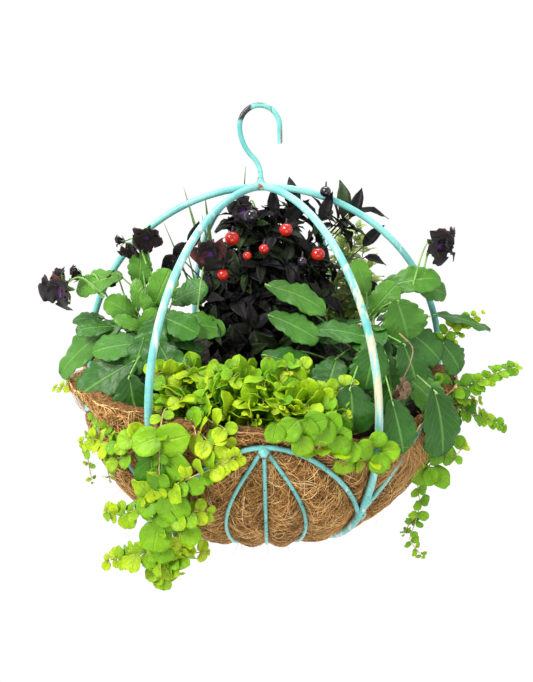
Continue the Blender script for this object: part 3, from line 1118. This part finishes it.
draw = np.random.default_rng(43)
for name, (nodes, flowers) in blooms.items():
    petals, greens, stalks = newSheaf(), newSheaf(), newSheaf()
    for flower in flowers:
        addBloom(petals, greens, stalks, draw, *flower)
    finishMesh(name + "Petals", petals, petalVelvet, 0.3, nodes)
    finishMesh(name + "Sepals", greens, sepalGreen, 0.3)
    finishMesh(name + "Stalks", stalks, greenStem)
print("pansies done")

# ornamental pepper

pepper = {"branches": 145, "leaf": (17, 31), "width": 0.40, "root": (5, 14, 8)}
handBranches = [
    (78, 14, 150), (64, 8, 158), (88, 16, 146), (54, 4, 150), (30, 6, 166), (10, 8, 160),
    (-4, 4, 150), (-26, -4, 142), (-44, 4, 126), (46, -20, 122), (66, -10, 112), (24, -30, 120),
    (0, -34, 116), (-22, -30, 104), (-38, -26, 88), (-20, -36, 72), (10, -42, 84), (36, -38, 74),
    (56, -30, 82), (4, -46, 54), (-30, -40, 52), (30, -46, 48), (60, 4, 96), (-44, -46, 44),
    (-48, -44, 62), (-14, -54, 38), (14, -56, 40), (-34, -52, 36), (44, -50, 42), (-8, -52, 60),
    (-52, -34, 84),
]
draw = np.random.default_rng(51)
leafRows, stems = [], newSheaf()
tips = [np.array(t, float) for t in handBranches]
while len(tips) < pepper["branches"]:
    spot = np.array([draw.uniform(-58, 80), draw.uniform(-40, 48), draw.uniform(30, 158)])
    offset = (spot - np.array([8, 6, 88])) / np.array([66, 50, 84])
    if 0.25 < np.dot(offset, offset) < 1.0 and spot[0] < 62:
        tips.append(spot)
for tip in tips:
    root = np.array(pepper["root"], float) + draw.normal(0, 3, 3) * np.array([1, 1, 0])
    fork = root + (tip - root) * np.array([0.25, 0.25, 0.55]) + draw.normal(0, 3, 3)
    path = [at(*root), at(*fork), at(*(fork + (tip - fork) * 0.6 + draw.normal(0, 3, 3))), at(*tip)]
    addStem(stems, path, 2.4, sides=5, count=12, tip=0.45)
    outward = unit((tip - np.array([8, 10, 60])) / np.array([1.0, 1.0, 1.3]))
    number = int(draw.integers(6, 10))
    for index in range(number):
        spin = 2 * math.pi * index / number * 1.62 + draw.normal(0, 0.3)
        _, up, side = basis(outward + np.array([0.01, 0, 0]))
        ring = up * math.cos(spin) + side * math.sin(spin)
        aim = unit(ring + outward * draw.uniform(0.0, 0.9) + np.array([0, 0, draw.uniform(-0.35, 0.35)]))
        back = draw.uniform(0, 16) * mm
        length = draw.uniform(*pepper["leaf"]) * mm
        face = unit(outward + np.array([0, -0.2, 0.55]) + draw.normal(0, 0.25, 3))
        tone = np.clip(draw.normal(0.32, 0.22), 0, 1) if draw.uniform() < 0.74 else draw.uniform(0.6, 1)
        leafRows.append((path[-1] - unit(path[-1] - path[-2]) * back, aim, face, length,
                         length * pepper["width"] * draw.uniform(0.85, 1.2), tone))
# leaves that stand clear of the bush: foot, tip, facing, width
standing = [
    ((79, 14, 150), (84, 18, 190), (0.2, -0.95, 0.1), 15, 0.9),
    ((86, 16, 150), (99, 18, 174), (0.3, -0.9, 0.2), 12, 0.2),
    ((88, 18, 156), (130, 22, 160), (0, -0.5, 0.85), 9, 0.3),
    ((32, 0, 158), (29, -4, 190), (0.1, -0.95, 0.1), 13, 0.1),
    ((14, 0, 150), (8, -2, 180), (-0.2, -0.95, 0.1), 12, 0.2),
    ((20, 0, 146), (44, -6, 166), (0.1, -0.9, 0.3), 14, 0.2),
    ((100, 16, 122), (120, 14, 142), (0, -0.8, 0.5), 12, 0.25),
    ((102, 14, 112), (126, 12, 104), (0, -0.7, 0.7), 12, 0.3),
    ((56, -4, 150), (66, -10, 172), (0, -0.9, 0.3), 12, 0.2),
    ((100, 10, 86), (124, 6, 74), (0, -0.7, 0.7), 11, 0.2),
    ((-70, -10, 132), (-88, -16, 112), (-0.2, -0.9, 0.2), 13, 0.3),
    ((-66, -12, 128), (-60, -18, 148), (0, -0.9, 0.3), 12, 0.2),
    ((-78, -14, 120), (-100, -20, 104), (-0.2, -0.8, 0.5), 14, 0.15),
    ((-84, -16, 116), (-84, -20, 90), (-0.2, -0.9, 0.2), 15, 0.15),
]
for foot, tip, face, width, tone in standing:
    start, end = at(*foot), at(tip[0], tip[1], tip[2] + 4)
    length = np.linalg.norm(end - start) * 1.04
    leafRows.append((start, end - start, np.array(face, float), length, width * mm, tone))
    addStem(stems, [at(foot[0] * 0.75, foot[1], foot[2] - 22), start, start + (end - start) * 0.1], 1.5, 5, 8)
sheaf = newSheaf()
addRows(sheaf, leafRows, pepperLeaf)
finishMesh("pepperLeaves", sheaf, pepperBlack, 0.3, ("ornamental_pepper",))
finishMesh("pepperStems", stems, darkStem)


def fruitSkin(name, scale, dark, bright, brightAt, rough):
    material, tree, shader = newMaterial(name)
    finishShader(tree, shader, ramp(tree, noise(tree, scale), (0.35, dark), (brightAt, bright)),
                 {"Roughness": rough, "Coat Weight": 0.4})
    bump(tree, shader, noise(tree, 200), 0.1, 0.0004)
    return material


fruitRed = fruitSkin("pepperFruitRed", 70, (0.36, 0.005, 0.004), (0.62, 0.018, 0.008), 0.65, 0.16)
fruitBlack = fruitSkin("pepperFruitBlack", 90, (0.006, 0.005, 0.010), (0.03, 0.015, 0.035), 0.7, 0.14)

# berries: material, solid they stand for, then centre and radius of each
fruits = {
    "pepperFruitRed": (fruitRed, ("pepper_fruit",), [
        (-26, -46, 140, 6.6), (22, -40, 146, 6.0), (-13, -44, 124, 4.0),
        (-35, -48, 108, 5.2), (51, -36, 123, 6.2), (2, -46, 130, 4.6)]),
    "pepperFruitBlack": (fruitBlack, (), [
        (-9, -32, 158, 6.2), (60, -8, 177, 5.2), (36, -44, 118, 4.4)]),
}


def addFruit(sheaf, caps, centre, radius, draw):
    middle = at(*centre)
    lat, lon = np.linspace(0, math.pi, 19)[:, None], np.arange(28)[None, :] / 28 * 2 * math.pi
    swell = 1 + 0.02 * np.cos(3 * lon + centre[0]) * np.sin(lat)
    tall = np.cos(lat) * (1 - 0.10 * np.exp(-(lat / 0.35) ** 2)) * 0.95
    ball = np.stack([np.sin(lat) * np.cos(lon) * swell, np.sin(lat) * np.sin(lon) * swell,
                     tall * np.ones_like(lon)], -1) * radius * mm + middle
    addPart(sheaf, ball.reshape(-1, 3), gridFaces(19, 28, True)[:, turnedOver], draw.uniform(0.3, 0.7))
    top = middle + np.array([0, 0, radius * 0.86 * mm])
    for index in range(6):
        a = math.pi / 3 * index
        aim = np.array([math.cos(a), math.sin(a), -0.25])
        addLeaves(caps, top, aim, (0, 0, 1), radius * 0.55 * mm, radius * 0.5 * mm, sepal, 0.2)
    bend, end = top + np.array([0.001, 0.005, 0.004]), top + np.array([0.002, 0.014, -0.004])
    addStem(caps, [top, bend, end], 1.5, 5, 6, 0.9)


draw = np.random.default_rng(61)
for name, (material, nodes, berries) in fruits.items():
    sheaf, caps = newSheaf(), newSheaf()
    for x, y, h, radius in berries:
        addFruit(sheaf, caps, (x, y, h), radius, draw)
    finishMesh(name, sheaf, material, nodes=nodes)
    finishMesh(name + "Caps", caps, darkStem)
print("pepper done:", len(leafRows), "leaves")

# shrub, grass and dried bits

draw = np.random.default_rng(71)
leafRows, stems = [], newSheaf()
shrub = {
    "root": (72, 84), "leaf": (13, 22), "width": 0.42,
    "tips": [(88, 40, 146), (98, 44, 138), (106, 42, 122), (110, 40, 104), (82, 44, 122), (98, 38, 92),
             (112, 46, 84), (90, 48, 104), (104, 50, 70)],
}
for tip in shrub["tips"]:
    foot = at(shrub["root"][0] + draw.normal(0, 5), shrub["root"][1] + draw.normal(0, 5), 8)
    path = bezier([foot, at(tip[0] - 10, tip[1] + 8, tip[2] * 0.5), at(*tip)], 24)
    addTubes(stems, path[None], np.linspace(1.1, 0.5, 24)[None] * mm, 5, 0.5)
    for index in range(5, 24):
        for _ in range(2):
            spin = draw.uniform(0, 2 * math.pi)
            aim = np.array([math.cos(spin), math.sin(spin) * 0.8, draw.uniform(0.1, 0.9)])
            size = draw.uniform(*shrub["leaf"]) * mm
            leafRows.append((path[index], aim, np.array([0, -0.4, 0.9]) + draw.normal(0, 0.2, 3), size,
                             size * shrub["width"], np.clip(draw.normal(0.85, 0.2), 0, 1)))
sheaf = newSheaf()
addRows(sheaf, leafRows, shrubLeaf)
finishMesh("shrubLeaves", sheaf, shrubGreen, 0.3, ("variegated_shrub",))
finishMesh("shrubStems", stems, greenStem)

# blades: foot, tip, width, tone
blades = [
    ((-44, 74, 6), (-73, 24, 177), 5.0, 0.60), ((-50, 70, 6), (-53, 30, 170), 6.0, 0.15),
    ((-40, 70, 6), (-11, 36, 198), 4.0, 0.05), ((-58, 76, 6), (-99, 28, 143), 2.6, 0.5),
    ((-46, 78, 6), (-60, 46, 150), 4.0, 0.3), ((-54, 80, 6), (-30, 60, 140), 3.4, 0.5),
    ((-62, 72, 6), (-84, 66, 120), 3.0, 0.6), ((-40, 84, 6), (-26, 92, 128), 3.2, 0.4),
]
sheaf = newSheaf()
for foot, tip, width, tone in blades:
    start, end = at(*foot), at(*tip)
    addLeaves(sheaf, start, end - start + np.array([0, 0, 0.012]), (0.2, -1, 0.2),
              np.linalg.norm(end - start), width * mm, grassBlade, tone)
finishMesh("grassBlades", sheaf, grassGreen, 0.3, ("grass_blades",))

# a withered bloom by the right front arm, and dead leaves: foot, way the tip points, size
withered = [
    ((113, -124, 35), (0.1, -0.3, -0.9), 20), ((112, -125, 30), (-0.3, -0.3, -0.8), 18),
    ((114, -125, 31), (0.3, -0.2, -0.8), 17), ((113, -127, 27), (0.0, -0.4, -0.8), 16),
    ((-58, -150, 20), (0.5, -0.6, 0.1), 15), ((118, -84, 6), (0.3, -0.5, -0.4), 14),
]
dried = newSheaf()
for spot, aim, size in withered:
    addLeaves(dried, at(*spot), aim, (0.3, -0.8, 0.2), size * mm, size * 0.5 * mm,
              dict(petal, rows=9, cols=7, droop=1.6), draw.uniform(0.2, 0.9))
finishMesh("driedLeaves", dried, driedLeaf, 0.3)
stems = newSheaf()
addStem(stems, [at(116, -90, 62), at(124, -105, 54), at(120, -114, 42), at(113, -123, 33)], 1.5)
addStem(stems, [at(-80, -128, 34), at(-72, -140, 30), at(-62, -150, 22)], 1.4)
finishMesh("driedStems", stems, dryStem)
print("shrub, grass and dried bits done")

# camera and light

lens = {"sensor": 36.0, "focal": 31.12, "place": (0.0050, -0.5723, rimZ + 0.2008),
        "forward": (-0.0041, 0.9586, -0.2847), "upward": (0.0176, 0.2847, 0.9586)}
cameraData = bpy.data.cameras.new("camera")
camera = bpy.data.objects.new("camera", cameraData)
bpy.context.collection.objects.link(camera)
cameraData.sensor_width = lens["sensor"]
cameraData.lens = lens["focal"]
cameraData.clip_start = 0.01
forward = Vector(lens["forward"]).normalized()
upward = Vector(lens["upward"]).normalized()
right = forward.cross(upward).normalized()
upward = right.cross(forward)
rows = [(right[k], upward[k], -forward[k], lens["place"][k]) for k in range(3)]
camera.matrix_world = Matrix(rows + [(0, 0, 0, 1)])
bpy.context.scene.camera = camera

world = bpy.data.worlds.new("studio")
bpy.context.scene.world = world
world.use_nodes = True
sky = world.node_tree
background = sky.nodes["Background"]
background.inputs["Color"].default_value = (1.0, 1.0, 1.0, 1.0)
# plain white behind the basket, dimmer in front of it so that the lamps shape the leaves
direction = sky.nodes.new("ShaderNodeTexCoord")
split = sky.nodes.new("ShaderNodeSeparateXYZ")
sky.links.new(direction.outputs["Generated"], split.inputs[0])
studio = {"front": 0.46, "behind": 1.02}
fade = window(sky, split.outputs[1], -0.45, 0.40)
fade.node.inputs["To Min"].default_value = studio["front"]
fade.node.inputs["To Max"].default_value = studio["behind"]
sky.links.new(fade, background.inputs["Strength"])

lights = {
    "key": {"place": (-0.9, -0.9, 0.9), "size": 0.9, "power": 35, "colour": (1.0, 0.98, 0.95)},
    "fill": {"place": (1.1, -0.8, 0.3), "size": 1.1, "power": 4, "colour": (0.95, 0.98, 1.0)},
    "low": {"place": (0.15, -1.3, -0.75), "size": 1.2, "power": 9, "colour": (1.0, 0.98, 0.95)},
    "top": {"place": (0.1, 0.3, 1.1), "size": 0.8, "power": 13, "colour": (1.0, 1.0, 1.0)},
}
for name, light in lights.items():
    data = bpy.data.lights.new(name, "AREA")
    data.shape = "DISK"
    data.size = light["size"]
    data.energy = light["power"]
    data.color = light["colour"]
    lamp = bpy.data.objects.new(name, data)
    lamp.location = light["place"]
    aim = Vector((0, 0, rimZ + 0.02)) - lamp.location
    lamp.rotation_mode = "QUATERNION"
    lamp.rotation_quaternion = aim.to_track_quat("-Z", "Y")
    bpy.context.collection.objects.link(lamp)

bpy.context.scene.view_settings.view_transform = "Standard"
print("scene done")
